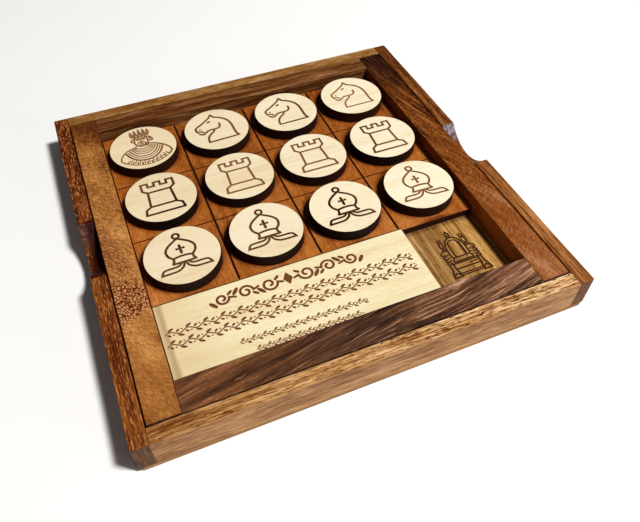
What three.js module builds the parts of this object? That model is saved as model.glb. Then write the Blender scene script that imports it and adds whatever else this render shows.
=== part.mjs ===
// A flat wooden solitaire puzzle with chess pieces. A shallow case holds a lift-out tray. The tray holds
// a board of twelve squares, a blank plaque, a sunk thirteenth cell and twelve loose discs.
//
// Units are millimetres. X runs to the right, Y to the back and Z up. The origin is under the middle of
// the case, on the surface that it stands on.

import * as THREE from "three";

// ---------- driving dimensions ----------

const caseWidth = 184;
const caseDepth = 186.3;
const caseHeight = 16.4;
const basePanelThickness = 1.8;
const wallThickness = 6.4;
const cornerRadius = 2;

const notchRadius = 18.1;
const notchDepth = 7.8;

const trayClearance = 0.6;
const restGap = 0.1;
const sideRailWidth = 12.1;
const frontRailWidth = 13.1;
const backRailWidth = 10.1;
const trayFloorThickness = 4.7;

const cellPitch = 36.3;
const boardColumns = 4;
const boardThickness = 3.4;
const boardFrontY = -34.2;
const panelClearance = 0.3;
const plaqueColumns = 3;
const plaqueRightOverhang = 1.1;

const discRadius = 15.95;
const discThickness = 5.4;
const discPitchX = 36.6;
const discPitchY = 36.9;

const edgeEase = 0.3;

// ---------- levels and places worked out from them ----------

const wallHeight = caseHeight - basePanelThickness;
const caseInnerX = caseWidth / 2 - wallThickness;
const caseInnerY = caseDepth / 2 - wallThickness;

const trayX = caseInnerX - trayClearance;
const trayY = caseInnerY - trayClearance;
const trayBottom = basePanelThickness + restGap;
const trayHeight = caseHeight - trayBottom;
const wellX = trayX - sideRailWidth;
const wellFrontY = -trayY + frontRailWidth;
const wellBackY = trayY - backRailWidth;

const floorTop = trayBottom + trayFloorThickness;
const boardTop = floorTop + boardThickness;
const panelX = wellX - panelClearance;
const boardBackY = wellBackY - panelClearance;
const plaqueRightX = -panelX + plaqueColumns * cellPitch + plaqueRightOverhang;

const middleRowY = boardFrontY + 1.5 * cellPitch;
const discBottom = boardTop + restGap;

// ---------- materials ----------

const wood = (color, roughness) => new THREE.MeshStandardMaterial({ color, roughness, metalness: 0 });

const redBrownWood = wood(0x7d4a28, 0.6);
const tanWood = wood(0xb27f4f, 0.58);
const brownWood = wood(0x7f4c28, 0.55);
const goldenWood = wood(0xa86c3a, 0.55);
const walnutWood = wood(0x6b4731, 0.55);
const oliveWood = wood(0xa87c42, 0.55);
const cherryWood = wood(0xa4622f, 0.5);
const paleBirch = wood(0xc8a272, 0.7);
const cream = wood(0xeed3a6, 0.6);
const discMaple = wood(0xf4e6c4, 0.6);

// ---------- shapes ----------

// A block with eased edges that spans two corners given as [x, y, z].
function block(low, high) {
  const [width, depth, height] = high.map((value, axis) => value - low[axis]);
  const outline = new THREE.Shape([
    new THREE.Vector2(0, 0),
    new THREE.Vector2(width, 0),
    new THREE.Vector2(width, depth),
    new THREE.Vector2(0, depth),
  ]);
  const geometry = easedExtrusion(outline, height);
  geometry.translate(...low);
  return geometry;
}

// An outline in XY, raised from Z 0 to the given height, with its top and bottom edges eased.
function easedExtrusion(outline, height, curveSegments = 12) {
  const geometry = new THREE.ExtrudeGeometry(outline, {
    depth: height - 2 * edgeEase,
    bevelThickness: edgeEase,
    bevelSize: edgeEase,
    bevelOffset: -edgeEase,
    bevelSegments: 1,
    curveSegments,
  });
  return geometry.translate(0, 0, edgeEase);
}

// The side wall's outline, with length along X and height along Y. A finger notch is cut in the middle
// of its top edge, as an arc whose centre is above the wall.
function notchedWallOutline(length, height) {
  const centreHeight = height - notchDepth + notchRadius;
  const halfAngle = Math.acos((notchRadius - notchDepth) / notchRadius);
  const down = -Math.PI / 2;
  const outline = new THREE.Shape();
  outline.moveTo(-length / 2, 0);
  outline.lineTo(length / 2, 0);
  outline.lineTo(length / 2, height);
  outline.absarc(0, centreHeight, notchRadius, down + halfAngle, down - halfAngle, true);
  outline.lineTo(-length / 2, height);
  return outline;
}

function roundedRectangle(width, depth, radius) {
  const x = width / 2;
  const y = depth / 2;
  const quarter = Math.PI / 2;
  const outline = new THREE.Shape();
  outline.moveTo(-x + radius, -y);
  outline.absarc(x - radius, -y + radius, radius, -quarter, 0, false);
  outline.absarc(x - radius, y - radius, radius, 0, quarter, false);
  outline.absarc(-x + radius, y - radius, radius, quarter, 2 * quarter, false);
  outline.absarc(-x + radius, -y + radius, radius, 2 * quarter, 3 * quarter, false);
  return outline;
}

function part(name, geometry, material) {
  const mesh = new THREE.Mesh(geometry, material);
  mesh.name = name;
  return mesh;
}

// ---------- case ----------

// The side walls run the whole depth, and the front and back walls are glued between them.
function sideWall(name, side, material) {
  const geometry = easedExtrusion(notchedWallOutline(caseDepth, wallHeight), wallThickness, 40);
  geometry.rotateX(Math.PI / 2);
  geometry.rotateZ(Math.PI / 2);
  const mesh = part(name, geometry, material);
  const outerX = (side * caseWidth) / 2;
  mesh.position.set(side < 0 ? outerX : outerX - wallThickness, 0, basePanelThickness);
  return mesh;
}

function endWall(name, side, material) {
  const inner = side * caseInnerY;
  const outer = (side * caseDepth) / 2;
  const low = [-caseInnerX, Math.min(inner, outer), basePanelThickness];
  const high = [caseInnerX, Math.max(inner, outer), caseHeight];
  return part(name, block(low, high), material);
}

function makeCase() {
  const group = new THREE.Group();
  const panel = easedExtrusion(roundedRectangle(caseWidth, caseDepth, cornerRadius), basePanelThickness);
  group.add(
    sideWall("case_left_wall", -1, redBrownWood),
    sideWall("case_right_wall", 1, brownWood),
    endWall("case_front_wall", -1, tanWood),
    endWall("case_back_wall", 1, tanWood),
    part("case_base_panel", panel, paleBirch),
  );
  return group;
}

// ---------- tray ----------

// The side rails run the whole depth, as on the case. The front rail is wider than the back one.
function makeTray() {
  const group = new THREE.Group();
  group.add(
    part(
      "tray_left_rail",
      block([-trayX, -trayY, trayBottom], [-wellX, trayY, caseHeight]),
      goldenWood,
    ),
    part(
      "tray_right_rail",
      block([wellX, -trayY, trayBottom], [trayX, trayY, caseHeight]),
      brownWood,
    ),
    part(
      "tray_front_rail",
      block([-wellX, -trayY, trayBottom], [wellX, wellFrontY, caseHeight]),
      walnutWood,
    ),
    part(
      "tray_back_rail",
      block([-wellX, wellBackY, trayBottom], [wellX, trayY, caseHeight]),
      walnutWood,
    ),
    part(
      "tray_floor",
      block([-wellX, wellFrontY, trayBottom], [wellX, wellBackY, floorTop]),
      oliveWood,
    ),
    part(
      "grid_board",
      block([-panelX, boardFrontY, floorTop], [panelX, boardBackY, boardTop]),
      cherryWood,
    ),
    part(
      "plaque",
      block([-panelX, wellFrontY, floorTop], [plaqueRightX, boardFrontY - panelClearance / 2, boardTop]),
      cream,
    ),
  );
  return group;
}

// ---------- discs ----------

function discGeometry() {
  const profile = [
    new THREE.Vector2(0, 0),
    new THREE.Vector2(discRadius - edgeEase, 0),
    new THREE.Vector2(discRadius, edgeEase),
    new THREE.Vector2(discRadius, discThickness - edgeEase),
    new THREE.Vector2(discRadius - edgeEase, discThickness),
    new THREE.Vector2(0, discThickness),
  ];
  return new THREE.LatheGeometry(profile, 72).rotateX(Math.PI / 2);
}

// The rows from back to front, with the pieces from left to right. Where a kind has several discs,
// they are numbered in that order.
const rows = [
  ["king", "knight", "knight", "knight"],
  ["rook", "rook", "rook", "rook"],
  ["bishop", "bishop", "bishop", "bishop"],
];

// Each disc lies loose on its square. The pitches of the discs are a little over the squares' pitch,
// which is how they lie after play.
function makeDiscs() {
  const group = new THREE.Group();
  const seen = {};
  rows.forEach((row, rowIndex) => {
    row.forEach((kind, columnIndex) => {
      seen[kind] = (seen[kind] ?? 0) + 1;
      const name = kind === "king" ? "disc_king" : `disc_${kind}_${seen[kind]}`;
      const disc = part(name, discGeometry(), discMaple);
      const x = (columnIndex - (boardColumns - 1) / 2) * discPitchX;
      const y = middleRowY + (1 - rowIndex) * discPitchY;
      disc.position.set(x, y, discBottom);
      group.add(disc);
    });
  });
  return group;
}

// ---------- assembly ----------

const group = new THREE.Group();
group.add(makeCase(), makeTray(), makeDiscs());

export default group;
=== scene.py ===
"""The looks of a wooden solitaire puzzle: a sanded hardwood case and tray, and an engraved board and discs.

Lengths are in millimetres until a mesh is made, and places come from the frame's own boxes.
"""

import math

import bpy
import numpy as np
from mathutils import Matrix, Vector, noise
from mathutils.geometry import delaunay_2d_cdt


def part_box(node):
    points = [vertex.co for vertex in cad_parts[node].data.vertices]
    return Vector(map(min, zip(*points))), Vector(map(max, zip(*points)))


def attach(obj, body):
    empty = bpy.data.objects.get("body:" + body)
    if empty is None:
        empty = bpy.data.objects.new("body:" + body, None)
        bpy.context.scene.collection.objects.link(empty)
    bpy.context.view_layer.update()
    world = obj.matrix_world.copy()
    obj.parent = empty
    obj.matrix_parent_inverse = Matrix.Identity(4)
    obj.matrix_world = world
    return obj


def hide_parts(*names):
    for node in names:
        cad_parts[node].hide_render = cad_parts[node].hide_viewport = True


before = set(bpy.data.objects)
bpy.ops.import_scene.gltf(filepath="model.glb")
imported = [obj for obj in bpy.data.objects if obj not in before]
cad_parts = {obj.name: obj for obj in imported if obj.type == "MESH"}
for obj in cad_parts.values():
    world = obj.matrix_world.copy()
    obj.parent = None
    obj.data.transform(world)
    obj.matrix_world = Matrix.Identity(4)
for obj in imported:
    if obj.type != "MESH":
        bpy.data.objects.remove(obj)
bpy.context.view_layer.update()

MM = 0.001

# sanded bars: the rounding of a sanded arris and of one left crisp, its steps, and the spacing of sections
ARRIS = 0.45
CRISP = 0.06
ARRIS_STEPS = 3
STATION = 5.0

# flat plates: the arris of a panel and of a disc
PANEL_ARRIS = 0.15
DISC_ARRIS = 0.22

# edges that turn by more than this stay sharp, and how strongly a wood's relief shows
SHARP_ANGLE = math.radians(50)
BUMP_STRENGTH = 0.6

# the case's walls, their outer corners, and the finger notches with their softened lips
WALL = 6.4
OUTER_CORNER = 0.8
NOTCH_RADIUS = 18.1
NOTCH_DEPTH = 7.8
LIP_EASE = 0.8

# the board's squares and lines, how far it reaches over the sunk cell, and where the throne is drawn
CELL = 36.3
GRID_LINE = 0.8
CROSS_LINE = 0.42
BOARD_LIP = 1.1
THRONE_CENTRE = (55.9, -53.7)

# how much the darkest burnt lines are widened on each side
BOLDEST = 0.09

# how far the rings of painted shadow on the board lie from the discs' centres, to the right and to the back
SHADOW_RING_SHIFT = (-0.5, 2.2)

# the camera's place and target, its lens, and the pale floor's half width and how far it lies below
CAMERA = (-66.9, -191.8, 207.5)
CAMERA_TARGET = (-4.5, -42.6, 16.4)
CAMERA_LENS = 34.83
FLOOR_REACH = 2.0
FLOOR_DROP = 0.0003

# each disc's turn in degrees, how dark its lines are burnt, and how much darker they get towards its right
# and towards its back
DISCS = {
    "king": (1.0, 0.45, 0.0, 0.0),
    "knight_1": (1.0, 0.62, -0.2, -0.1),
    "knight_2": (0.0, 0.62, 0.15, 0.0),
    "knight_3": (-1.0, 0.25, 0.0, 0.1),
    "rook_1": (0.5, 0.86, 0.2, -0.15),
    "rook_2": (0.0, 0.5, 0.0, 0.0),
    "rook_3": (0.0, 0.55, 0.1, 0.0),
    "rook_4": (-0.5, 0.66, -0.3, 0.0),
    "bishop_1": (1.0, 0.82, 0.0, 0.1),
    "bishop_2": (0.0, 0.8, 0.1, 0.0),
    "bishop_3": (0.0, 0.95, -0.25, 0.0),
    "bishop_4": (-2.0, 0.48, 0.0, 0.0),
}


# ---------- the frame's boxes ----------


def box(node):
    """A node's lowest and highest corner in millimetres."""
    low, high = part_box(node)
    return Vector(low) / MM, Vector(high) / MM


def centre_of(node):
    low, high = box(node)
    return (low + high) / 2


# ---------- flat drawings, in millimetres ----------


def arc(centre, radius, start, end, steps=12):
    """Points on an arc, with angles in degrees. An end angle below the start one turns clockwise."""
    angles = np.radians(np.linspace(start, end, steps + 1))
    return [(centre[0] + radius * math.cos(a), centre[1] + radius * math.sin(a)) for a in angles]


def ellipse(centre, across, up, tilt=0.0, steps=14):
    """A closed ellipse from its half-axes, turned by tilt degrees."""
    c, s = math.cos(math.radians(tilt)), math.sin(math.radians(tilt))
    points = []
    for a in np.linspace(0, 2 * math.pi, steps, endpoint=False):
        x, y = across * math.cos(a), up * math.sin(a)
        points.append((centre[0] + x * c - y * s, centre[1] + x * s + y * c))
    return points


def smooth(points, steps=5):
    """A Catmull-Rom curve through the points, with that many steps from each to the next."""
    p = [np.array(points[0])] + [np.array(q) for q in points] + [np.array(points[-1])]
    curve = []
    for a, b, c, d in zip(p, p[1:], p[2:], p[3:]):
        for t in np.arange(steps) / steps:
            square = (2 * a - 5 * b + 4 * c - d) * t**2
            cube = (3 * b - a - 3 * c + d) * t**3
            curve.append(tuple(0.5 * (2 * b + (c - a) * t + square + cube)))
    curve.append(tuple(p[-1]))
    return curve


def mirrored(points):
    return [(-x, y) for x, y in points]


def unit(v):
    return v / max(np.linalg.norm(v), 1e-9)


def stroke_sides(points, width, closed):
    """The left and right edge of a stroke, with mitred corners."""
    p = np.array(points, float)
    count = len(p)
    left, right = [], []
    for i in range(count):
        before = p[i] - p[i - 1] if closed or i > 0 else p[1] - p[0]
        after = p[(i + 1) % count] - p[i] if closed or i < count - 1 else p[-1] - p[-2]
        n0, n1 = (np.array((-d[1], d[0])) for d in (unit(before), unit(after)))
        middle = unit(n0 + n1)
        reach = width / 2 / max(middle @ n0, 0.5)
        left.append(p[i] + middle * reach)
        right.append(p[i] - middle * reach)
    return left, right


class Drawing:
    """Lines and filled shapes that are engraved into a flat face."""

    def __init__(self):
        self.lines = []
        self.fills = []

    def line(self, points, width, closed=False):
        self.lines.append((list(points), width, closed))
        return self

    def both(self, points, width):
        """A line and its mirror image."""
        return self.line(points, width).line(mirrored(points), width)

    def curve(self, points, width):
        return self.line(smooth(points), width)

    def curves(self, points, width):
        """A smooth line through the points, and its mirror image."""
        return self.both(smooth(points), width)

    def fill(self, points):
        self.fills.append(list(points))
        return self

    def add(self, other, x=0.0, y=0.0, scale=1.0, turn=0.0):
        """Takes in another drawing, scaled, turned by degrees, and moved."""
        c, s = math.cos(math.radians(turn)) * scale, math.sin(math.radians(turn)) * scale

        def place(points):
            return [(x + c * px - s * py, y + s * px + c * py) for px, py in points]

        for points, width, closed in other.lines:
            self.lines.append((place(points), width * scale, closed))
        for points in other.fills:
            self.fills.append(place(points))
        return self

    def outlines(self, grow=0.0):
        """Its boundary loops, and simple areas that together cover it. Lines gain grow on each side."""
        loops, areas = [], []
        lines = [(points, width + 2 * grow, closed) for points, width, closed in self.lines]
        if grow:
            lines += [(points, 2 * grow, True) for points in self.fills]
        for points, width, closed in lines:
            left, right = stroke_sides(points, width, closed)
            pairs = list(zip(left, right))
            if closed:
                loops += [left, right]
                pairs.append(pairs[0])
            else:
                ends = []
                for centre, side in ((points[-1], left[-1]), (points[0], right[0])):
                    spoke = np.array(side) - centre
                    start = math.degrees(math.atan2(spoke[1], spoke[0]))
                    ends.append(arc(centre, width / 2, start, start - 180, 4))
                loops.append(left[:-1] + ends[0] + right[-2:0:-1] + ends[1][:-1])
                areas += ends
            areas += [[a, b, d, c] for (a, b), (c, d) in zip(pairs, pairs[1:])]
        loops += self.fills
        areas += self.fills
        return loops, areas


def covered(points, areas):
    """Which of the points lie in any of the areas, by the even-odd rule on each."""
    x, y = points[:, 0], points[:, 1]
    found = np.zeros(len(points), bool)
    for area in areas:
        a = np.array(area, float)
        low, high = a.min(0), a.max(0)
        near = np.where((x >= low[0]) & (x <= high[0]) & (y >= low[1]) & (y <= high[1]) & ~found)[0]
        if len(near) == 0:
            continue
        inside = np.zeros(len(near), bool)
        for (x0, y0), (x1, y1) in zip(a, np.roll(a, -1, 0)):
            if y0 != y1:
                crosses = (y0 > y[near]) != (y1 > y[near])
                inside ^= crosses & (x[near] < (x1 - x0) * (y[near] - y0) / (y1 - y0) + x0)
        found[near] |= inside
    return found


# ---------- meshes ----------


def finish_piece(name, vertices, faces, materials, kinds, body, nodes):
    """Makes the object from vertices in millimetres, and rides it on its body."""
    mesh = bpy.data.meshes.new(name)
    mesh.from_pydata([tuple(c * MM for c in v) for v in vertices], [], faces)
    mesh.validate()
    for material in materials:
        mesh.materials.append(material)
    mesh.polygons.foreach_set("material_index", kinds)
    mesh.polygons.foreach_set("use_smooth", [True] * len(mesh.polygons))
    mesh.set_sharp_from_angle(angle=SHARP_ANGLE)
    piece = bpy.data.objects.new(name, mesh)
    bpy.context.scene.collection.objects.link(piece)
    flat_faces = piece.modifiers.new("flat_faces", "WEIGHTED_NORMAL")
    flat_faces.keep_sharp = True
    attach(piece, body)
    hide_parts(*nodes)
    return piece


FACE, SCORCH, GROOVE, EDGE = range(4)


def carved_plate(name, outline, bottom, top, materials, body, nodes, slot, drawing=None, depth=0.4,
                 scorch=0.16, bold=0.0, arris=0.2, attributes=None, centre=(0.0, 0.0), turn=0.0):
    """A flat plate with a round arris, and a drawing engraved into its top as real grooves.

    materials are those of the face, the scorched skirt of a groove, the groove, and the edge. The outline
    and the drawing are about the plate's centre, and attributes holds functions of a vertex there.
    """
    drawing = drawing or Drawing()
    cut_loops, cut_areas = drawing.outlines(bold)
    skirt_loops, skirt_areas = drawing.outlines(bold + scorch)
    points, edges = [], []
    for loop in [outline] + cut_loops + skirt_loops:
        first = len(points)
        points += [Vector((float(p[0]), float(p[1]))) for p in loop]
        edges += [(first + i, first + (i + 1) % len(loop)) for i in range(len(loop))]
    flat, _, triangles, _, _, _ = delaunay_2d_cdt(points, edges, [], 0, 1e-4)
    flat = np.array([tuple(v) for v in flat])
    triangles = np.array(triangles)
    a, b, c = (flat[triangles[:, i]] for i in range(3))
    area = (b[:, 0] - a[:, 0]) * (c[:, 1] - a[:, 1]) - (c[:, 0] - a[:, 0]) * (b[:, 1] - a[:, 1])
    triangles = np.where((area < 0)[:, None], triangles[:, ::-1], triangles)
    triangles = triangles[np.abs(area) > 1e-9]
    triangles = triangles[covered(flat[triangles].mean(1), [outline])]
    middles = flat[triangles].mean(1)
    kind = np.where(covered(middles, skirt_areas), SCORCH, FACE)
    kind[covered(middles, cut_areas)] = GROOVE

    vertices, faces, kinds, index = [], [], [], {}

    def corner(i, z):
        key = (int(i), round(z, 5))
        if key not in index:
            index[key] = len(vertices)
            vertices.append((flat[i][0], flat[i][1], z))
        return index[key]

    owner = {}
    for t, (i, j, k) in enumerate(triangles):
        for edge in ((i, j), (j, k), (k, i)):
            owner[edge] = t
    rim = {}
    for t, corners in enumerate(triangles):
        z = top - depth if kind[t] == GROOVE else top
        faces.append([corner(i, z) for i in corners])
        kinds.append(int(kind[t]))
    for (i, j), t in owner.items():
        across = owner.get((j, i))
        if across is None:
            rim[int(i)] = int(j)
        elif kind[t] == GROOVE and kind[across] != GROOVE:
            faces.append([corner(j, top - depth), corner(i, top - depth), corner(i, top), corner(j, top)])
            kinds.append(GROOVE)

    start = next(iter(rim))
    loop = [start]
    while rim[loop[-1]] != start:
        loop.append(rim[loop[-1]])
    ring_points = flat[loop]
    ahead = np.roll(ring_points, -1, 0) - ring_points
    ahead /= np.linalg.norm(ahead, axis=1)[:, None]
    normals = np.stack([ahead[:, 1], -ahead[:, 0]], 1)
    back = np.roll(normals, 1, 0)
    outward = (normals + back) / (1 + (normals * back).sum(1))[:, None]

    quarter = np.radians(np.linspace(0, 90, ARRIS_STEPS + 1))
    profile = [(arris * math.sin(t), top - arris * (1 - math.cos(t))) for t in quarter]
    profile += [(out, top + bottom - z) for out, z in reversed(profile)]
    ring = [corner(i, top) for i in loop]
    for outset, z in profile[1:]:
        new = list(range(len(vertices), len(vertices) + len(loop)))
        vertices += [(p[0], p[1], z) for p in ring_points + outward * outset]
        for i in range(len(loop)):
            j = (i + 1) % len(loop)
            faces.append([ring[j], ring[i], new[i], new[j]])
            kinds.append(EDGE)
        ring = new
    faces.append(ring[::-1])
    kinds.append(FACE)

    c, s = math.cos(math.radians(turn)), math.sin(math.radians(turn))
    moved = [(centre[0] + c * x - s * y, centre[1] + s * x + c * y, z) for x, y, z in vertices]
    piece = finish_piece(name, moved, faces, materials, kinds, body, nodes)
    for label, values in (attributes or {}).items():
        layer = piece.data.attributes.new(label, "FLOAT", "POINT")
        layer.data.foreach_set("value", [values(v) for v in vertices])
    return piece


def circle(radius, steps=144):
    angles = np.linspace(0, 2 * math.pi, steps, endpoint=False)
    return [(radius * math.cos(a), radius * math.sin(a)) for a in angles]


def sanded_bar(name, along, material, body, end_ease=(CRISP, CRISP), open_span=None, inner=None,
               top=None, stations=()):
    """A hand-sanded bar in the box of the CAD node of that name. Its arrises vary a little in width.

    along is 0 or 1 for X or Y, and end_ease is the rounding of both ends on the bar's low and high side.
    The arris on the inner side, 0 for low and 1 for high, is eased only inside open_span, and crisp at a
    joint. top gives the height at a place along the bar, where it isn't level.
    """
    low, high = box(name)
    across = 1 - along
    longest = max(end_ease + (ARRIS,))
    near = longest * (1 - np.cos(np.radians(np.linspace(0, 90, 6))))
    places = set(np.arange(low[along], high[along], STATION)) | set(stations)
    if open_span:
        places |= {s + d for s in open_span for d in (-0.4, 0.4)}
    places = {s for s in places if low[along] + longest < s < high[along] - longest}
    places = sorted(places | {low[along] + t for t in near} | {high[along] - t for t in near})
    vertices, faces = [], []
    for s in places:
        t = min(s - low[along], high[along] - s)
        inset = [r - math.sqrt(max(r * r - max(r - t, 0) ** 2, 0)) for r in (*end_ease, ARRIS)]
        level = top(s) if top else high[2]
        sides = low[across] + inset[0], high[across] - inset[1]
        heights = low[2] + inset[2] / 2, level - inset[2]
        for side, upper, start in ((0, 0, 180), (1, 0, 270), (1, 1, 0), (0, 1, 90)):
            sway = noise.noise(Vector((s * 0.045, side * 7.3, low[0] + low[1])))
            radius = ARRIS * (0.85 + 0.5 * sway) if upper else ARRIS / 2
            if side == inner and upper and not open_span[0] < s < open_span[1]:
                radius = CRISP
            centre = sides[side] + radius * (1 - 2 * side), heights[upper] + radius * (1 - 2 * upper)
            for across_place, height in arc(centre, radius, start, start + 90, ARRIS_STEPS):
                point = [0.0, 0.0, height]
                point[along], point[across] = s, across_place
                vertices.append(point)
    size = 4 * (ARRIS_STEPS + 1)
    for r in range(len(places) - 1):
        for i in range(size):
            j = (i + 1) % size
            quad = [r * size + i, r * size + j, (r + 1) * size + j, (r + 1) * size + i]
            faces.append(quad if along == 1 else quad[::-1])
    first, last = list(range(size)), list(range(len(vertices) - size, len(vertices)))
    faces += [first[::-1], last] if along == 1 else [first, last[::-1]]
    return finish_piece(name + "_wood", vertices, faces, [material], [0] * len(faces), body, [name])


# ---------- shader nodes ----------


def linear(colour):
    """A linear colour from a display colour up to (255, 255, 255). Anything else comes back as it is."""
    if isinstance(colour, tuple) and len(colour) == 3:
        return tuple(((c / 255 + 0.055) / 1.055) ** 2.4 for c in colour) + (1.0,)
    return colour


class Shader:
    """A material that is written as a chain of calls. Positions are the object's own, in millimetres."""

    def __init__(self, name, roughness=0.5, specular=0.07):
        self.material = bpy.data.materials.new(name)
        self.material.use_nodes = True
        self.tree = self.material.node_tree
        self.surface = self.tree.nodes["Principled BSDF"]
        self.surface.inputs["Roughness"].default_value = roughness
        self.surface.inputs["Specular IOR Level"].default_value = specular
        self.place = self.node("TexCoord", {}, "Object")
        self.normal = self.node("TexCoord", {}, "Normal")
        self.mm = self.node("VectorMath", {0: self.place, "Scale": 1 / MM}, operation="SCALE")

    def node(self, kind, inputs, output=0, **settings):
        made = self.tree.nodes.new("ShaderNode" + kind)
        for key, value in settings.items():
            setattr(made, key, value)
        for key, value in inputs.items():
            if isinstance(value, bpy.types.NodeSocket):
                self.tree.links.new(value, made.inputs[key])
            else:
                made.inputs[key].default_value = value
        return made.outputs[output]

    def math(self, operation, a, b=0.0):
        return self.node("Math", {0: a, 1: b}, operation=operation)

    def add(self, *values):
        total = values[0]
        for value in values[1:]:
            total = self.math("ADD", total, value)
        return total

    def times(self, a, b):
        return self.math("MULTIPLY", a, b)

    def fade(self, value, low, high, start=0.0, end=1.0):
        """start below low, end above high, and a smooth step between them."""
        inputs = {0: value, 1: low, 2: high, 3: start, 4: end}
        return self.node("MapRange", inputs, interpolation_type="SMOOTHSTEP")

    def part(self, vector, axis):
        return self.node("SeparateXYZ", {0: vector}, axis)

    def grain(self, axis, size, seed=0, angle=0.0, warp=None, detail=2.0, kind="noise"):
        """Noise about 0.5 of that (length, width) in mm. Its length runs along axis, turned by angle
        degrees. warp is the (size, reach) in mm of a bend, and kind may be "cells" for a net.
        """
        vector = self.mm
        if warp:
            bend = self.node("TexNoise", {"Vector": self.mm, "Scale": 1 / warp[0], "Detail": 1.0}, "Color")
            bend = self.node("VectorMath", {0: bend, 1: (0.5, 0.5, 0.5)}, operation="SUBTRACT")
            bend = self.node("VectorMath", {0: bend, "Scale": warp[1] * 2}, operation="SCALE")
            vector = self.node("VectorMath", {0: vector, 1: bend}, operation="ADD")
        turned = self.node(
            "VectorRotate", {"Vector": vector, "Angle": -math.radians(angle)}, rotation_type="Z_AXIS"
        )
        length, width = size
        scale = [1 / width] * 3
        scale[axis] = 1 / length
        scaled = self.node("VectorMath", {0: turned, 1: scale}, operation="MULTIPLY")
        apart = (seed * 3.7, seed * 5.1, seed * 7.9)
        moved = self.node("VectorMath", {0: scaled, 1: apart}, operation="ADD")
        if kind == "cells":
            return self.node("TexVoronoi", {"Vector": moved, "Scale": 1.0}, feature="DISTANCE_TO_EDGE")
        return self.node("TexNoise", {"Vector": moved, "Scale": 1.0, "Detail": detail, "Roughness": 0.5})

    def mix(self, factor, a, b, blend="MIX"):
        inputs = {0: factor, 6: linear(a), 7: linear(b)}
        return self.node("Mix", inputs, 2, data_type="RGBA", blend_type=blend)

    def ramp(self, value, stops, smooth=False):
        made = self.tree.nodes.new("ShaderNodeValToRGB")
        self.tree.links.new(value, made.inputs[0])
        elements = made.color_ramp.elements
        made.color_ramp.interpolation = "EASE" if smooth else "LINEAR"
        elements.remove(elements[1])
        elements[0].position = stops[0][0]
        elements[0].color = linear(stops[0][1])
        for position, colour in stops[1:]:
            elements.new(position).color = linear(colour)
        return made.outputs[0]

    def along_curve(self, axis, stops, reach=100.0):
        """A value that follows (place in mm, value) stops along an axis."""
        share = self.fade_linear(self.part(self.mm, axis), -reach, reach)
        grey = [((place + reach) / (2 * reach), (value,) * 3 + (1.0,)) for place, value in stops]
        return self.ramp(share, grey, smooth=True)

    def fade_linear(self, value, low, high):
        return self.node("MapRange", {0: value, 1: low, 2: high, 3: 0.0, 4: 1.0})

    def finish(self, colour, roughness=None, height=None, relief=0.05):
        """Feeds the surface. relief is how far the height field's full range stands, in mm."""
        self.tree.links.new(colour, self.surface.inputs["Base Color"])
        if roughness is not None:
            self.tree.links.new(roughness, self.surface.inputs["Roughness"])
        if height is not None:
            inputs = {"Height": height, "Distance": relief * MM, "Strength": BUMP_STRENGTH}
            bump = self.node("Bump", inputs, "Normal")
            self.tree.links.new(bump, self.surface.inputs["Normal"])
        return self.material


# ---------- woods ----------

X, Y, Z = range(3)


def wood(name, axis, palette, layers, marks=(), tones=None, vigour=None, end=(100, 66, 44), seed=0,
         roughness=0.5, paint=None, relief=0.05):
    """Sanded and oiled wood with its grain along an axis.

    palette is a ramp of (value, colour). layers, which add up to the value, are (weight, (length, width),
    grain options). marks, which are pores, flecks and streaks, are (colour, strength, (length, width),
    threshold, grain options).
    tones shift the value along the grain, vigour weighs the layers and marks along it, and
    paint(shader, colour) may add what only this piece has.
    """
    s = Shader(name)
    value = s.add(0.5, s.math("SUBTRACT", s.along_curve(axis, tones), 0.5)) if tones else 0.5
    strength_here = s.along_curve(axis, vigour) if vigour else 1.0
    fibre, figure = None, None
    for i, (weight, size, options) in enumerate(layers):
        layer = s.math("SUBTRACT", s.grain(axis, size, seed + i, **options), 0.5)
        fibre = layer if fibre is None else s.add(fibre, layer)
        weighed = s.times(layer, weight)
        figure = weighed if figure is None else s.add(figure, weighed)
    value = s.add(value, s.times(figure, strength_here))
    colour = s.ramp(value, palette)
    height = s.times(s.grain(axis, (6, 0.25), seed + 15), 0.5)
    for i, (tint, strength, size, threshold, options) in enumerate(marks):
        mark = s.fade(s.grain(axis, size, seed + 20 + i, **options), threshold, threshold + 0.07)
        colour = s.mix(s.times(s.times(mark, strength), strength_here), colour, tint)
        sunk = linear(tint)[0] < linear(palette[-1][1])[0] / 2
        height = s.add(height, s.times(mark, -0.5 if sunk else 0.15))
    rings = s.grain(Z, (7, 0.6), seed + 40, detail=3)
    cut = s.mix(s.fade(rings, 0.36, 0.64), end, s.mix(0.6, end, (30, 18, 12)))
    facing = s.math("ABSOLUTE", s.part(s.normal, axis))
    colour = s.mix(s.fade(facing, 0.25, 0.75), colour, cut)
    if paint:
        colour = paint(s, colour)
    uneven = s.fade(fibre, -0.3, 0.3, roughness + 0.08, roughness - 0.08)
    return s.finish(colour, uneven, height, relief)


def raw_cut(s, colour, light, dark, strength):
    """The rough mottled patch that the cutter left at the back of a finger notch."""
    y = s.part(s.mm, Y)
    slope = s.fade(s.part(s.normal, Y), -0.55, -0.25, 1, 0)
    inside = s.times(s.fade(y, 7, 12), s.fade(y, 17.5, 18.2, 1, 0))
    patch = s.ramp(s.grain(Z, (2.2, 1.5), 71, detail=4), [(0.37, dark), (0.63, light)])
    return s.mix(s.times(s.times(slope, inside), strength), colour, patch)


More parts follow.
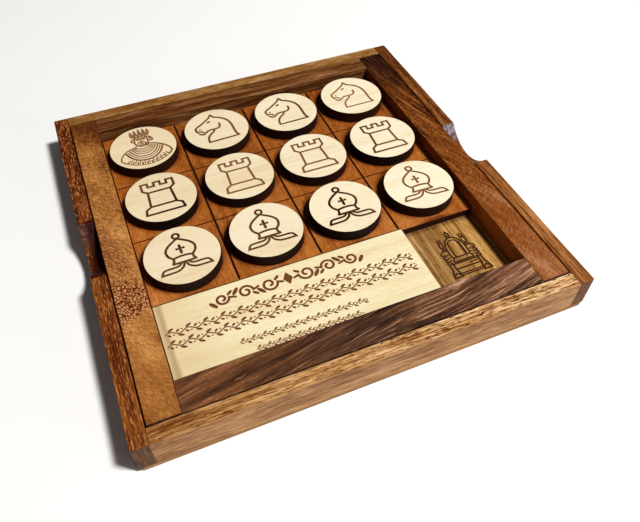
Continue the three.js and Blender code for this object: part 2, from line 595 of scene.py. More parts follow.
def case_left_wood():
    def notch(s, colour):
        x, y = s.part(s.mm, X), s.part(s.mm, Y)
        inside = s.fade(s.math("ABSOLUTE", y), 16.2, 16.9, 1, 0)
        inner = s.fade(s.add(x, s.times(y, -0.08)), outer + 0.2, outer + 2.8, 0.25, 0.92)
        colour = raw_cut(s, colour, (134, 92, 70), (38, 30, 42), 0.9)
        # painted shadow of the tray's rail: the notch's surface turns dark maroon (40, 5, 2) towards the
        # tray
        return s.mix(s.times(inside, inner), colour, (40, 5, 2))

    outer = box("case_left_wall")[0].x
    return wood(
        "case_left", Y,
        [
            (0, (40, 6, 1)), (0.35, (85, 32, 6)), (0.5, (111, 53, 15)), (0.65, (135, 73, 27)),
            (1, (178, 114, 55)),
        ],
        [(1, (40, 4), {}), (0.9, (8, 0.5), {"detail": 4})],
        [
            ((198, 134, 77), 0.95, (3.4, 0.36), 0.565, {"warp": (5, 0.6)}),
            ((53, 6, 1), 0.9, (7, 0.4), 0.545, {"warp": (8, 0.8)}),
        ],
        tones=[(-93, 0.62), (-60, 0.56), (-25, 0.5), (10, 0.44), (93, 0.42)],
        vigour=[(-93, 0.8), (-30, 0.85), (20, 1), (93, 1)], end=(112, 75, 46), seed=1, paint=notch,
    )


def case_right_wood():
    def notch(s, colour):
        return raw_cut(s, colour, (160, 150, 160), (80, 62, 64), 0.9)

    return wood(
        "case_right", Y,
        [
            (0, (57, 19, 1)), (0.3, (89, 41, 6)), (0.5, (117, 65, 23)), (0.75, (153, 95, 44)),
            (1, (188, 129, 79)),
        ],
        [(1.3, (60, 3), {}), (1.6, (30, 0.6), {"detail": 3}), (1, (4, 0.35), {})],
        [((59, 21, 3), 0.85, (14, 0.28), 0.565, {}), ((186, 124, 72), 0.5, (10, 0.3), 0.6, {})],
        tones=[(-93, 0.77), (-20, 0.71), (15, 0.46), (93, 0.40)], end=(123, 79, 51), seed=2, paint=notch,
    )


def case_front_wood():
    def outer_face(s, colour):
        out = s.fade(s.part(s.normal, Y), -0.75, -0.35, 1, 0)
        wide = s.grain(X, (60, 4), 51, warp=(30, 2.5))
        waves = s.grain(X, (16, 0.9), 52, detail=2, warp=(14, 1.6))
        fine = s.add(s.times(waves, 1.2), s.times(s.grain(X, (5, 0.3), 54), 0.8))
        band = s.add(s.times(wide, 0.5), s.times(fine, 0.6))
        face = s.ramp(band, [(0.62, (100, 56, 30)), (0.83, (161, 113, 70)), (1.02, (203, 159, 110))])
        pores = s.fade(s.grain(X, (5, 0.4), 53, warp=(10, 1)), 0.58, 0.66)
        high = s.fade(s.part(s.mm, Z), 6, 14, 0.3, 0.8)
        face = s.mix(s.times(pores, high), face, (96, 48, 26))
        return s.mix(s.times(out, 0.9), colour, face)

    return wood(
        "case_front", X,
        [
            (0, (84, 42, 12)), (0.3, (136, 84, 36)), (0.5, (178, 128, 74)), (0.7, (214, 166, 112)),
            (1, (246, 206, 158)),
        ],
        [(1, (50, 3), {}), (1.3, (14, 0.7), {"detail": 3}), (1, (3, 0.35), {})],
        [((70, 32, 8), 0.95, (4, 0.4), 0.55, {"warp": (10, 0.8)})],
        tones=[(-92, 0.36), (-30, 0.52), (0, 0.6), (92, 0.69)],
        vigour=[(-92, 0.7), (-30, 0.8), (30, 1.2), (92, 1.25)], seed=3, paint=outer_face,
    )


def case_back_wood():
    return wood(
        "case_back", X,
        [(0, (92, 48, 10)), (0.5, (146, 97, 44)), (0.62, (159, 113, 63)), (1, (203, 164, 118))],
        [(1, (30, 6), {}), (0.8, (5, 1.6), {"detail": 3}), (0.6, (3, 0.4), {})],
        [((82, 42, 13), 0.6, (3, 0.3), 0.60, {})],
        tones=[(-92, 0.45), (92, 0.61)], seed=4,
    )


def tray_left_wood():
    def lace(s, colour):
        net = s.grain(Y, (1.6, 1.05), 61, angle=32, warp=(2.5, 1), kind="cells")
        lines = s.fade(net, 0.05, 0.18, 1, 0)
        hearts = s.fade(net, 0.12, 0.3)
        y = s.part(s.mm, Y)
        outwards = s.math("SUBTRACT", inner_edge, s.part(s.mm, X))
        ragged = s.times(s.math("SUBTRACT", s.grain(Y, (4, 4), 62), 0.5), 7)
        front = s.fade(s.add(y, s.times(outwards, 0.45), ragged), -40, -38)
        dense = s.times(front, s.fade(s.add(y, s.times(outwards, -0.55), ragged), -28, -25, 1, 0))
        reach = s.fade(s.add(y, s.times(outwards, -3.6)), -32, -12, 1, 0)
        strength = s.math("MAXIMUM", dense, s.times(s.times(front, reach), 0.5))
        paler = s.mix(s.times(s.times(strength, hearts), 0.8), colour, (208, 148, 106))
        return s.mix(s.times(lines, strength), paler, (93, 26, 6))

    inner_edge = box("tray_front_rail")[0].x
    return wood(
        "tray_left", Y,
        [
            (0, (70, 31, 7)), (0.2, (105, 56, 19)), (0.5, (158, 99, 46)), (0.75, (189, 128, 64)),
            (1, (216, 160, 99)),
        ],
        [
            (1.2, (26, 9), {"angle": 20, "detail": 1}),
            (0.15, (9, 2.6), {"angle": 40, "detail": 1}),
            (1.5, (2.2, 0.45), {"angle": 42, "detail": 2}),
            (0.7, (6, 0.4), {}),
        ],
        [
            ((93, 45, 13), 0.4, (1.4, 0.3), 0.62, {"angle": 20}),
            ((208, 148, 89), 0.4, (2.4, 0.4), 0.6, {"angle": 42}),
        ],
        tones=[
            (-86, 0.44), (-65, 0.46), (-61, 0.6), (-40, 0.66), (-20, 0.54), (30, 0.46), (58, 0.41),
            (72, 0.21), (86, 0.1),
        ],
        vigour=[(-86, 0.5), (-64, 0.55), (-50, 0.8), (0, 1), (58, 0.9), (86, 0.4)],
        seed=5, paint=lace, relief=0.025,
    )


def tray_right_wood():
    def painted_bounce_light(s, colour):
        # painted light: the rail's inner face, turned towards the board, is made lighter as if lit by light
        # thrown back from the board and floor
        inwards = s.fade(s.part(s.normal, X), -0.8, -0.3, 1, 0)
        return s.mix(s.times(inwards, 0.6), colour, (184, 104, 34))

    return wood(
        "tray_right", Y,
        [
            (0, (29, 9, 3)), (0.2, (58, 27, 11)), (0.45, (107, 54, 13)), (0.6, (129, 67, 16)),
            (0.8, (154, 96, 58)), (1, (186, 130, 94)),
        ],
        [
            (1.2, (50, 4.5), {"angle": 17, "warp": (40, 4)}),
            (0.9, (30, 1.3), {"angle": 17, "detail": 3, "warp": (40, 4)}),
            (1.1, (2.2, 0.6), {"angle": -35, "warp": (6, 1)}),
            (0.6, (6, 0.4), {"angle": 10}),
        ],
        [
            ((178, 116, 58), 0.55, (24, 0.8), 0.58, {"angle": 17, "warp": (40, 4)}),
            ((58, 22, 4), 0.25, (4, 0.3), 0.6, {"angle": 16}),
        ],
        tones=[
            (-86, 0.7), (-60, 0.7), (-44, 0.67), (-20, 0.54), (20, 0.5), (44, 0.42), (62, 0.18),
            (86, 0.02),
        ],
        vigour=[(-86, 0.6), (-50, 0.7), (0, 0.9), (40, 1.1), (60, 0.55), (86, 0.3)],
        seed=6, paint=painted_bounce_light, relief=0.03,
    )


def tray_front_wood():
    def golden_end(s, colour):
        golden = s.mix(1, colour, (255, 243, 222), "MULTIPLY")
        return s.mix(s.fade(s.part(s.mm, X), -50, -5), golden, colour)

    return wood(
        "tray_front", X,
        [
            (0, (30, 14, 10)), (0.25, (59, 36, 25)), (0.45, (91, 59, 40)), (0.6, (122, 81, 53)),
            (0.8, (148, 106, 83)), (1, (196, 153, 125)),
        ],
        [
            (1.5, (60, 4), {"angle": 9, "warp": (40, 3)}),
            (1, (36, 1.3), {"angle": 9, "detail": 3, "warp": (40, 3)}),
            (0.8, (9, 0.4), {"angle": 9}),
            (0.5, (1.6, 0.4), {"angle": -30}),
        ],
        [
            ((211, 160, 122), 0.6, (30, 0.8), 0.61, {"angle": 11, "warp": (40, 3.5), "detail": 3}),
            ((26, 12, 8), 0.5, (7, 0.3), 0.6, {"angle": 8}),
        ],
        tones=[(-72, 0.54), (-30, 0.43), (12, 0.32), (40, 0.5), (72, 0.5)],
        vigour=[(-72, 0.6), (0, 0.7), (25, 1.2), (72, 1.1)], seed=7, paint=golden_end, relief=0.03,
    )


def tray_back_wood():
    return wood(
        "tray_back", X,
        [
            (0, (52, 22, 4)), (0.3, (86, 45, 16)), (0.5, (108, 64, 30)), (0.7, (130, 85, 47)),
            (1, (172, 124, 85)),
        ],
        [
            (1.4, (60, 3), {"warp": (30, 3)}),
            (1.3, (36, 0.9), {"detail": 3, "warp": (30, 3)}),
            (0.6, (4, 0.4), {}),
        ],
        [((44, 20, 4), 0.7, (7, 0.3), 0.59, {})],
        tones=[(-73, 0.5), (0, 0.49), (73, 0.58)], seed=8,
    )


def floor_wood():
    def shades(s, colour):
        """Painted shade: a duller left side, and a darker strip along the board's charred edge where the
        board shades the floor.
        """
        # painted shade over the floor's left part, fading out between x 44 and 64
        shaded_left = s.mix(1, colour, (218, 216, 226), "MULTIPLY")
        colour = s.mix(s.fade(s.part(s.mm, X), 44, 64), shaded_left, colour)
        # painted shade in the corner just in front of the board's front edge
        soot_and_painted_shade = s.fade(s.part(s.mm, Y), board_edge - 3, board_edge - 0.5, 0, 0.8)
        return s.mix(soot_and_painted_shade, colour, s.mix(1, colour, (172, 158, 160), "MULTIPLY"))

    board_edge = box("grid_board")[0].y - BOARD_LIP
    return wood(
        "tray_floor", Y,
        [
            (0, (104, 60, 18)), (0.3, (143, 99, 43)), (0.5, (173, 127, 66)), (0.75, (206, 158, 90)),
            (1, (236, 192, 123)),
        ],
        [(1.3, (80, 3.2), {}), (1.4, (60, 1.1), {"detail": 3}), (0.8, (5, 0.4), {"angle": 12})],
        [((108, 60, 20), 0.7, (5, 0.3), 0.60, {})],
        seed=9, paint=shades,
    )


def board_wood():
    def soot_and_painted_shade(s, colour):
        """A ring of painted shadow beside each disc: darker wood to its left and back, where a disc's
        shadow falls on the board.
        """
        first, beside, behind = (centre_of("disc_" + name) for name in ("rook_1", "rook_2", "king"))
        x, y = (s.add(s.part(s.mm, i), -SHADOW_RING_SHIFT[i] - first[i]) for i in (X, Y))
        to_right = s.math("PINGPONG", x, (beside.x - first.x) / 2)
        to_back = s.math("PINGPONG", y, (behind.y - first.y) / 2)
        away = s.math("SQRT", s.add(s.times(to_right, to_right), s.times(to_back, to_back)))
        ring = s.times(s.fade(away, 12.5, 15.8, 0.1, 0.86), s.fade(away, 16.6, 19.8, 1, 0))
        # painted shadow: the ring multiplies the board's colour by (150, 112, 112)
        return s.mix(ring, colour, s.mix(1, colour, (150, 112, 112), "MULTIPLY"))

    return wood(
        "board", Y,
        [
            (0, (80, 31, 7)), (0.3, (130, 67, 21)), (0.5, (164, 91, 32)), (0.7, (184, 112, 50)),
            (1, (212, 148, 87)),
        ],
        [(0.7, (30, 14), {}), (0.5, (40, 2.4), {"detail": 3}), (0.8, (3, 0.7), {"detail": 3})],
        [((112, 53, 14), 0.5, (2.5, 0.3), 0.61, {})],
        tones=[(-35, 0.58), (5, 0.54), (24, 0.47), (38, 0.41), (76, 0.42)], seed=10, paint=soot_and_painted_shade,
    )


def ply_wood():
    def plies(s, colour):
        layer = s.math("PINGPONG", s.part(s.mm, Z), 0.6)
        edge = s.fade(s.math("ABSOLUTE", s.part(s.normal, Z)), 0.5, 0.8, 1, 0)
        return s.mix(s.times(edge, s.fade(layer, 0.25, 0.35, 0, 0.5)), colour, (128, 85, 47))

    return wood(
        "case_base", X,
        [(0, (141, 100, 58)), (0.5, (170, 129, 86)), (1, (197, 160, 115))],
        [(1, (90, 9), {}), (0.9, (30, 1.2), {"detail": 3})],
        [((114, 76, 40), 0.5, (4, 0.25), 0.62, {})],
        end=(152, 111, 69), seed=11, roughness=0.62, paint=plies,
    )


def pale_wood(name, axis, palette, seed, paint=None):
    """Cream maple veneer: faint bands, short fine rays and hardly any pores."""
    return wood(
        name, axis, palette,
        [(0.9, (60, 9), {}), (0.7, (24, 1), {"detail": 3}), (0.7, (2.4, 0.5), {"detail": 3})],
        [((206, 164, 112), 0.35, (3, 0.22), 0.63, {})],
        end=(196, 150, 98), seed=seed, roughness=0.55, paint=paint, relief=0.03,
    )


def plaque_wood():
    def stain(s, colour):
        x = s.add(s.part(s.mm, X), s.times(s.grain(Y, (7, 3), 72), 1))
        begins = s.fade(x, low.x + 0.3, low.x + 2.6, 0.5, 1)
        end = s.times(s.fade(x, low.x + 2.7, low.x + 4.8, 0.7, 0), begins)
        older = s.mix(s.fade(x, low.x + 4, low.x + 30, 0.55, 0), colour, (217, 194, 145))
        return s.mix(end, older, (158, 134, 96))

    low = box("plaque")[0]
    palette = [(0, (221, 192, 141)), (0.5, (242, 226, 182)), (1, (249, 240, 207))]
    return pale_wood("plaque_face", X, palette, 12, stain)


def disc_wood():
    def tone(s, colour):
        warmth = s.node("Attribute", {}, "Fac", attribute_name="warmth")
        return s.mix(warmth, colour, (239, 226, 212), "MULTIPLY")

    palette = [(0, (230, 208, 168)), (0.5, (248, 236, 204)), (1, (253, 247, 224))]
    return pale_wood("disc_face", X, palette, 13, tone)


def burnt(name, dark, light, roughness=0.75):
    """Wood charred by a laser. The attribute burn, from 0 to 1, says how dark it is."""
    s = Shader(name, specular=0.15)
    burn = s.node("Attribute", {}, "Fac", attribute_name="burn")
    uneven = s.math("SUBTRACT", s.grain(X, (0.9, 0.9), 30, detail=4), 0.5)
    soot_and_painted_shade = s.add(burn, s.times(uneven, 0.9))
    colour = s.mix(s.fade_linear(soot_and_painted_shade, 0, 1), light, dark)
    sooty = s.fade(soot_and_painted_shade, 0, 1, roughness - 0.1, roughness)
    return s.finish(colour, sooty, s.grain(X, (0.5, 0.5), 31), 0.06)


# ---------- drawings ----------


def rook_drawing():
    shape = Drawing()
    top, notch, neck = 10.3, 7.9, 5.9
    wall = [(-7.2, neck), (-7.2, top), (-4.3, top), (-4.3, notch), (-1.4, notch), (-1.4, top)]
    crenels = wall + mirrored(wall[::-1])
    shape.line([(-5.2, 4.25)] + crenels + [(5.2, 4.25)], 0.8)
    shape.line([(-5.2, 4.2), (5.2, 4.2)], 0.75)
    shape.both([(-5.1, 4.2), (-5.7, -5.2)], 0.8)
    shape.line([(-5.7, -5.15), (5.7, -5.15)], 0.75)
    shape.both([(-5.8, -5.2), (-8, -6.7), (-8.5, -9.8)], 0.8)
    return shape.line([(-8.6, -9.85), (8.6, -9.85)], 0.8)


def bishop_drawing():
    shape = Drawing()
    shape.line(ellipse((0, 10.75), 1.4, 1.4, steps=20), 0.75, closed=True)
    mitre = [(-0.2, 9.1), (-2.5, 7.6), (-4.6, 5.9), (-5.9, 4), (-6.1, 2.2), (-5.5, 0.3), (-4, -1.4)]
    shape.curves(mitre, 0.75)
    shape.curve([(-4.1, -1.4), (-2.2, -0.95), (0, -0.8), (2.2, -0.95), (4.1, -1.4)], 0.75)
    shape.both([(-4, -1.5), (-4.1, -3), (-4.8, -4.2)], 0.75)
    shape.line([(-4.7, -4.25), (4.7, -4.25)], 0.75)
    ribbon = [(-1.4, -4.4), (-2.4, -5.5), (-4, -6), (-8.2, -6.1), (-9.6, -6.8), (-10.4, -8.5)]
    under = [(-10.3, -8.5), (-4.5, -8.4), (-2.4, -7.7), (-1, -6.4), (-0.35, -4.6)]
    shape.both(smooth(ribbon) + smooth(under), 0.7)
    shape.line([(0, 5.2), (0, 0.9)], 0.9)
    shape.line([(-1.6, 3.4), (1.6, 3.4)], 0.55)
    for x in (-1.5, 1.5):
        shape.fill(ellipse((x, 3.4), 0.35, 0.5, steps=8))
    return shape


def knight_drawing():
    shape = Drawing()
    muzzle = [(-1.3, 9.8), (-3.8, 7.9), (-6.5, 5.9), (-8.7, 4.6), (-9.7, 3.6), (-9.9, 2.2), (-9.5, 0.7)]
    shape.line([(0.1, 11.9)] + smooth(muzzle), 0.8)
    shape.curve([(-9.5, 0.3), (-8.4, 0.8), (-7.5, 0.5), (-6.9, -0.5)], 0.7)
    jaw = [(-9, -0.9), (-8, -1.8), (-6.9, -1.9), (-5.6, -0.9), (-4, 0.1), (-1.8, 0.25), (0.4, 0.3)]
    shape.curve(jaw + [(1.7, 1), (2.3, 2.3), (2.4, 3.9)], 0.8)
    chest = [(-1.1, 0.1), (-2, -1.6), (-4, -3.2), (-5.4, -5), (-6, -6.9), (-6.15, -8.9)]
    shape.curve(chest, 0.8)
    shape.line([(-6.2, -8.95), (8.9, -8.6)], 0.8)
    back = [(1.2, 9.7), (4, 8.1), (6.3, 5.8), (7.5, 3), (7.9, 0), (7.9, -4), (8.1, -6.8), (8.8, -8.5)]
    shape.line([(0.1, 11.9)] + smooth(back), 0.95)
    shape.fill(ellipse((-2.3, 6.6), 1, 0.5, 22))
    return shape.fill(ellipse((-7.9, 2.4), 0.42, 0.32))


def king_drawing():
    """A bearded king in a tall crown and a robe with a ringed collar and a tasselled hem."""
    shape = Drawing()

    def tassels(angles, outer, inner, width):
        for angle in angles:
            shape.line([arc(hem_centre, r, angle, angle, 1)[0] for r in (outer, inner)], width)

    for x, tip in ((-3.8, 13.1), (-1.8, 13.7), (0.3, 14), (2.4, 13.8), (4.4, 13.2)):
        foot = x * 0.8
        for side in (-1, 1):
            shape.curve([(foot + 0.75 * side, 8.9), (x + 0.5 * side, 11), (x, tip)], 0.5)
        shape.fill(ellipse((foot + 0.1 * x, 10.3), 0.3, 0.75))
    shape.curve([(-3.9, 9.1), (0.1, 8.5), (4.1, 9.1)], 0.6)
    shape.curve([(-3.5, 7.6), (0.1, 7.1), (3.7, 7.6)], 0.55)
    for x in (-2.4, -0.8, 0.8, 2.4):
        shape.fill(ellipse((x, 8.05), 0.42, 0.3, steps=8))
    shape.curve([(-3.4, 7.5), (-4.4, 6.8), (-4.4, 5.6), (-3.6, 4.9), (-3.1, 5.4)], 0.55)
    shape.curve([(3.5, 7.8), (4.6, 6.9), (5.2, 5.6), (5.5, 4.3), (4.6, 3.9), (3.4, 4.4)], 0.6)
    shape.curve([(4.1, 6.6), (4.4, 5.5), (4.2, 4.8)], 0.4)
    shape.curves([(-3, 7.3), (-3.2, 4.6), (-2.8, 2.6), (-1.6, 1.3), (0, 0.9)], 0.55)
    shape.curves([(-2.3, 6.2), (-1.4, 6.6), (-0.5, 6.2)], 0.4)
    for x in (-1.35, 1.35):
        shape.fill(ellipse((x, 5.55), 0.42, 0.25, steps=8))
    shape.line([(0.1, 6.1), (-0.35, 4.6), (0.45, 4.5)], 0.38)
    shape.curves([(0, 3.9), (-1, 4), (-2, 3.2)], 0.5)
    shape.line([(-0.6, 3), (0.6, 3)], 0.35)
    for x in (-1.5, -0.5, 0.5, 1.5):
        shape.line([(x, 2.5), (x * 0.7, 1.4)], 0.35)
    for x in (2.1, 2.7, 3.3):
        shape.line([(x - 0.2, 2.7), (x - 0.7, 0.7)], 0.4)
    hem_centre, hem = (0.4, 2.3), 15.4
    left = [(-3, 1.3), (-6, 0.3), (-8.9, -1.1), (-11.2, -4.2), (-11.9, -6.8)]
    right = [(3.3, 2), (6.8, 0.4), (9.6, -1.8), (11.6, -4.4), (12.3, -7.1)]
    shape.line(smooth(left) + arc(hem_centre, hem, -134, -132, 1), 0.5)
    shape.line(smooth(right) + arc(hem_centre, hem, -46, -48, 1), 0.7)
    shape.line(arc(hem_centre, hem, -134, -46, 20), 0.28)
    tassels(range(-130, -48, 9), hem, hem - 1.9, 0.55)
    tassels(range(-126, -52, 9), hem - 0.9, hem - 3, 0.28)
    collars = (
        (3.6, 0.6, -0.9, 0.3), (4.3, 0.4, -2.1, 0.3), (5, 0.1, -3.4, 0.3), (5.8, -0.1, -4.8, 0.34),
        (6.8, -0.7, -6.6, 0.5), (7.8, -1.4, -8, 0.3), (8.8, -2.1, -9.6, 0.8),
    )
    for half, top, bottom, width in collars:
        low = bottom * 0.88 + top * 0.12
        chain = [(-half, top), (-half * 0.8, (top + bottom) / 2), (-half * 0.46, low), (0, bottom)]
        shape.line(smooth(chain + mirrored(chain[:-1][::-1])), width)
    return shape


def throne_drawing():
    """A high-backed armchair with a knobbed crest, flaming pinnacles and carved arms and feet."""
    shape = Drawing()
    shape.line(ellipse((0, 11.3), 0.8, 0.95, steps=16), 0.6, closed=True)
    shape.fill(ellipse((0, 12.7), 0.5, 0.55, steps=10))
    shape.both([(-0.6, 10.5), (-0.8, 9.3)], 0.6)
    shape.curves([(-4.3, -1), (-4.4, 2.6), (-4, 5.4), (-2.9, 7.7), (-1.5, 8.9), (0, 9.3)], 0.6)
    shape.line([(-2.5, -1.6), (-2.5, 5.2)] + arc((0, 5.2), 2.5, 180, 0, 14)[1:], 0.45)
    shape.line([(2.6, 5.8), (2.6, -1.6)], 0.9)
    shape.both([(-6.4, 9.5), (-5.9, 8.1), (-5.4, 10.1), (-4.9, 8.1), (-4.4, 9.5)], 0.4)
    shape.both([(-6.3, 7.7), (-4.5, 7.7)], 0.6)
    shape.curves([(-6, 7.2), (-6.5, 6), (-5.9, 4.4), (-6.2, 3)], 0.5)
    shape.curves([(-4.8, 7.2), (-4.7, 6.2), (-5.2, 4.6), (-5, 3.4)], 0.4)
    shape.curves([(-5, 2.8), (-6.4, 2.9), (-7.8, 2.2), (-8.1, 1.1), (-7.3, 0.5), (-6.6, 1.2)], 0.5)
    for y in (0, -1.6, -3.2):
        shape.curves([(-6.3, y), (-7.9, y - 0.4), (-7.9, y - 1.1), (-6.4, y - 1.5)], 0.5)
        for x in (-5.5, 5.5):
            shape.fill(ellipse((x, y + 0.6), 0.38, 0.32, steps=8))
    shape.curves([(-4.5, -0.8), (-4.1, -2), (-4.9, -3.8)], 0.5)
    shape.both([(-7.6, -4.6), (-7.7, -7.9)], 0.55)
    shape.both([(-6, -4), (-6, -7.8), (-5.6, -9.6), (-5.4, -11.6)], 0.7)
    shape.both(smooth([(-7.7, -7.9), (-8.5, -9.8), (-8.9, -11.9)]) + [(-5.3, -11.9)], 0.65)
    shape.curves([(-8.1, -10.6), (-7, -9.6), (-6.1, -10.8)], 0.45)
    shape.line([(-3.6, -1.9), (3.8, -1.9)], 0.5)
    rungs = ((-3.9, 4.8, 0.45), (-4.8, 5.2, 0.7), (-7.7, 5.6, 0.55), (-10.4, 5.2, 0.45), (-11.4, 5.2, 0.45))
    for y, half, width in rungs:
        shape.line([(-half, y), (half, y)], width)
    return shape.line([(1.8, -6.3), (5.2, -6.1)], 0.5)


def spiral(centre, outer, inner, start, turns, steps=26):
    """A spiral that winds in from its outer radius, with angles in degrees."""
    points = []
    for t in np.linspace(0, 1, steps + 1):
        radius = outer + (inner - outer) * t
        angle = math.radians(start + 360 * turns * t)
        points.append((centre[0] + radius * math.cos(angle), centre[1] + radius * math.sin(angle)))
    return points


def heading_drawing(half):
    """A lozenge between two rows of leafy scrolls, half the heading's width to each side."""
    shape = Drawing()
    shape.fill([(-2, 0), (0, -3.2), (2, 0), (0, 3.2)])
    pitch = (half - 3) / 3
    for k in range(3):
        way = 1 if k % 2 == 0 else -1
        x = 3.0 + pitch * (k + 0.5)
        coil = spiral((x, 0), 3.5 - 0.3 * k, 0.9, 180, 1.2 * way)
        shape.both([(x - pitch * 0.55, -0.8 * way)] + coil, 0.95)
        for leaf in (
            ellipse((x + pitch * 0.4, -1.8 * way), 2.1, 0.8, 50 * way),
            ellipse((x - pitch * 0.36, 2.0 * way), 1.5, 0.6, -40 * way),
        ):
            shape.fill(leaf)
            shape.fill(mirrored(leaf[::-1]))
    return shape


def vine_drawing(length, rise=0.75, period=7):
    """A wavy stem with a leaf and a berry at each crest, from x 0."""
    shape = Drawing()
    places = np.arange(0, length + 0.01, period / 12)
    shape.line([(x, rise * math.sin(2 * math.pi * x / period)) for x in places], 0.4)
    for i in range(int(2 * length / period)):
        x, side = (i + 0.5) * period / 2, 1 if i % 2 == 0 else -1
        shape.fill(ellipse((x + 0.5, 1.75 * side * rise / 0.75), 1.25, 0.48, 24 * side))
        shape.fill(ellipse((x - 0.4, -0.75 * side), 0.85, 0.4, -38 * side, 10))
        shape.fill(ellipse((x + 1.25, -0.95 * side), 0.3, 0.3, 0, 8))
    return shape


def plaque_drawing():
    low, high = box("plaque")
    back, left = high.y, low.x
    shape = Drawing()
    shape.add(heading_drawing(33), -18.0, back - 6.6)
    shape.add(vine_drawing(105), left + 1.8, back - 15.0)
    shape.add(vine_drawing(105), left + 1.4, back - 20.6)
    shape.add(vine_drawing(84), -45.6, back - 28.9, scale=0.63)
    shape.add(vine_drawing(76), -40.6, back - 33.9, scale=0.58)
    return shape


PICTURES = {"king": king_drawing, "knight": knight_drawing, "rook": rook_drawing, "bishop": bishop_drawing}


# ---------- the pieces ----------


def side_wall_top(y):
    """The height of a side wall's top: level, with a round finger notch in the middle and softened lips."""
    top = box("case_left_wall")[1].z
    scoop = top + NOTCH_RADIUS - NOTCH_DEPTH - math.sqrt(max(NOTCH_RADIUS**2 - y * y, 0))
    gap = max(LIP_EASE - abs(scoop - top), 0)
    return min(scoop, top) - gap * gap / (4 * LIP_EASE)


def make_case():
    inside = box("case_front_wall")[0].y + WALL, box("case_back_wall")[1].y - WALL
    # closer sections along the finger notches
    stations = [s for y in np.arange(0, 18.5, 0.5) for s in (-y, y)]
    sides = ("case_left_wall", case_left_wood(), 1), ("case_right_wall", case_right_wood(), 0)
    for name, material, inner in sides:
        ends = (OUTER_CORNER, CRISP) if inner else (CRISP, OUTER_CORNER)
        sanded_bar(
            name, Y, material, "case", end_ease=ends, open_span=inside,
            inner=inner, top=side_wall_top, stations=stations,
        )
    for name, material in (("case_front_wall", case_front_wood()), ("case_back_wall", case_back_wood())):
        sanded_bar(name, X, material, "case")
    low, high = box("case_base_panel")
    ply = ply_wood()
    corner = 2.0
    half_x, half_y = (high.x - low.x) / 2 - PANEL_ARRIS, (high.y - low.y) / 2 - PANEL_ARRIS
    outline = []
    for x, y, start in ((1, -1, -90), (1, 1, 0), (-1, 1, 90), (-1, -1, 180)):
        outline += arc((x * (half_x - corner), y * (half_y - corner)), corner, start, start + 90, 8)
    carved_plate(
        "case_base_panel_ply", outline, low.z, high.z, [ply] * 4, "case", ["case_base_panel"],
        "case_base_ply", arris=PANEL_ARRIS,
    )


def make_tray():
    well = box("tray_front_rail")[1].y, box("tray_back_rail")[0].y
    sides = ("tray_left_rail", tray_left_wood(), 1), ("tray_right_rail", tray_right_wood(), 0)
    for name, material, inner in sides:
        sanded_bar(name, Y, material, "tray", end_ease=(0.3, 0.3), open_span=well, inner=inner)
    for name, material in (("tray_front_rail", tray_front_wood()), ("tray_back_rail", tray_back_wood())):
        sanded_bar(name, X, material, "tray")

    char = burnt("throne_burn", (48, 22, 10), (110, 68, 34))
    add_panel(
        "tray_floor", [floor_wood(), burnt("throne_scorch", (104, 62, 30), (140, 94, 48)), char, char],
        "tray_floor_wood", Drawing().add(throne_drawing(), *THRONE_CENTRE), scorch=0.12, bold=0.06,
        depth=0.3, burn=0.8,
    )
    black = burnt("board_burn", (32, 8, 4), (78, 28, 12))
    add_panel(
        "grid_board", [board_wood(), burnt("board_scorch", (84, 34, 14), (120, 62, 28)), black, black],
        "board_cherry", grid_drawing(), scorch=0.12, depth=0.7, burn=0.8, front_right=1.0,
        lip=(box("plaque")[1].x + 0.3, BOARD_LIP),
    )
    ink = burnt("plaque_burn", (84, 38, 20), (150, 96, 60))
    add_panel(
        "plaque", [plaque_wood(), burnt("plaque_scorch", (176, 124, 82), (214, 172, 124)), ink, ink],
        "plaque_maple", plaque_drawing(), scorch=0.1, depth=0.25, burn=0.7,
    )


def add_panel(node, materials, slot, drawing, burn, front_right=0.0, lip=None, **options):
    """A rectangular plate in its CAD node's box. The drawing is placed in the shared frame.

    front_right is the radius of its front right corner. lip is (place, reach): to the right of that place,
    its front edge stands that much further to the front.
    """
    low, high = box(node)
    x0, y0 = low.x + PANEL_ARRIS, low.y + PANEL_ARRIS
    x1, y1 = high.x - PANEL_ARRIS, high.y - PANEL_ARRIS
    outline = [(x0, y1), (x0, y0)]
    if lip:
        place, reach = lip
        outline += [(place, y0), (place, y0 - reach)]
        y0 -= reach
    corner = [(x1, y0)]
    if front_right:
        corner = arc((x1 - front_right, y0 + front_right), front_right, -90, 0, 6)
    outline += corner + [(x1, y1)]
    carved_plate(
        node + "_panel", outline, low.z, high.z, materials, "tray", [node], slot, drawing,
        arris=PANEL_ARRIS, attributes={"burn": lambda v: burn}, **options,
    )


def grid_drawing():
    """The lines between the squares, and each square's small picture of the piece that starts there."""
    low, high = box("grid_board")
    shape = Drawing()
    margin = 0.7
    for column in (-1, 0, 1):
        x = column * CELL
        shape.line([(x, low.y + margin), (x, high.y - margin)], GRID_LINE)
    for row in (1, 2):
        y = low.y + row * CELL
        spans = np.linspace(low.x, high.x, 5)
        for a, b in zip(spans, spans[1:]):
            shape.line([(a + margin, y), (b - margin, y)], CROSS_LINE)
    for name in DISCS:
        centre = centre_of("disc_" + name)
        shape.add(PICTURES[name.split("_")[0]](), centre.x, centre.y, scale=0.6)
    return shape


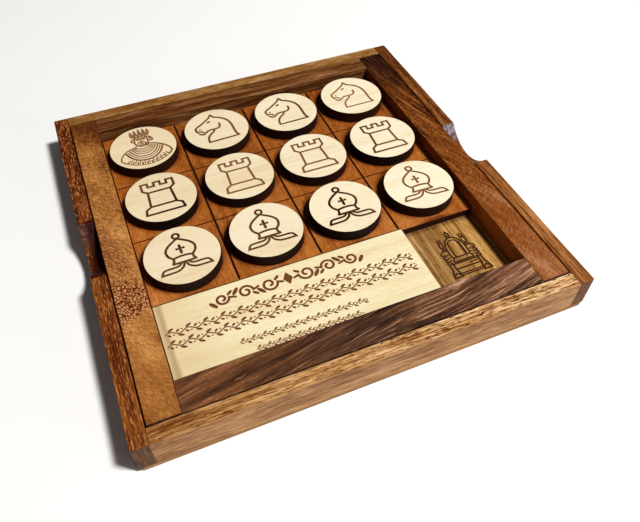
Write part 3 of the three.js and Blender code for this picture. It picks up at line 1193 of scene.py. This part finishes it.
def make_discs():
    materials = [
        disc_wood(),
        burnt("disc_scorch", (150, 100, 60), (222, 186, 138)),
        burnt("disc_burn", (26, 8, 2), (178, 124, 78)),
        burnt("disc_edge", (18, 4, 1), (52, 22, 8)),
    ]
    for name, (turn, level, to_right, to_back) in DISCS.items():
        node = "disc_" + name
        low, high = box(node)
        centre = (low + high) / 2
        radius = (high.x - low.x) / 2
        picture = PICTURES[name.split("_")[0]]()
        # the faces are warmer in colour towards the board's left, and a little towards its back
        warmth = 0.38 - centre.x / 170 + centre.y / 600
        carved_plate(
            node + "_face", circle(radius - DISC_ARRIS), low.z, high.z, materials, name, [node],
            "disc_maple", picture, depth=0.35, scorch=0.14, bold=BOLDEST * level, arris=DISC_ARRIS,
            centre=centre, turn=turn,
            attributes={
                "burn": lambda v: level + to_right * v[0] / radius + to_back * v[1] / radius,
                "warmth": lambda v: warmth,
            },
        )


make_case()
make_tray()
make_discs()


# ---------- camera, floor and light ----------


def look(obj, target):
    obj.rotation_euler = (Vector(target) * MM - obj.location).to_track_quat("-Z", "Y").to_euler()


camera = bpy.data.objects.new("camera", bpy.data.cameras.new("camera"))
bpy.context.scene.collection.objects.link(camera)
camera.location = Vector(CAMERA) * MM
camera.data.lens = CAMERA_LENS
camera.data.clip_start, camera.data.clip_end = 0.01, 10
look(camera, CAMERA_TARGET)
bpy.context.scene.camera = camera


def area_light(name, azimuth, elevation, distance, size, power, colour=(1, 1, 1)):
    """A square soft light. Azimuth 0 is at the front, and 90 at the right."""
    light = bpy.data.objects.new(name, bpy.data.lights.new(name, "AREA"))
    light.data.size = size
    light.data.energy = power
    light.data.color = colour
    a, e = math.radians(azimuth), math.radians(elevation)
    light.location = Vector((math.sin(a) * math.cos(e), -math.cos(a) * math.cos(e), math.sin(e))) * distance
    look(light, (0, 0, 0))
    bpy.context.scene.collection.objects.link(light)


area_light("key", 50, 60.5, 2.0, 0.28, 44.8, (1.0, 0.985, 0.96))
area_light("front_fill", 35, 12, 1.8, 1.0, 4.4)

world = bpy.data.worlds.new("studio")
world.use_nodes = True
world.node_tree.nodes["Background"].inputs[0].default_value = (0.95, 0.97, 1.0, 1)
world.node_tree.nodes["Background"].inputs[1].default_value = 0.07
bpy.context.scene.world = world

floor_mesh = bpy.data.meshes.new("floor")
corners = [(x * FLOOR_REACH, y * FLOOR_REACH, -FLOOR_DROP) for x, y in ((-1, -1), (1, -1), (1, 1), (-1, 1))]
floor_mesh.from_pydata(corners, [], [(0, 1, 2, 3)])
floor = bpy.data.objects.new("floor", floor_mesh)
bpy.context.scene.collection.objects.link(floor)
paper = Shader("floor_paper", roughness=0.9, specular=0.0)
greys = [(0, (0.97, 0.97, 0.97, 1)), (1, (0.985, 0.985, 0.985, 1))]
floor_mesh.materials.append(paper.finish(paper.ramp(paper.grain(X, (90, 90)), greys)))

bpy.context.scene.view_settings.view_transform = "Standard"
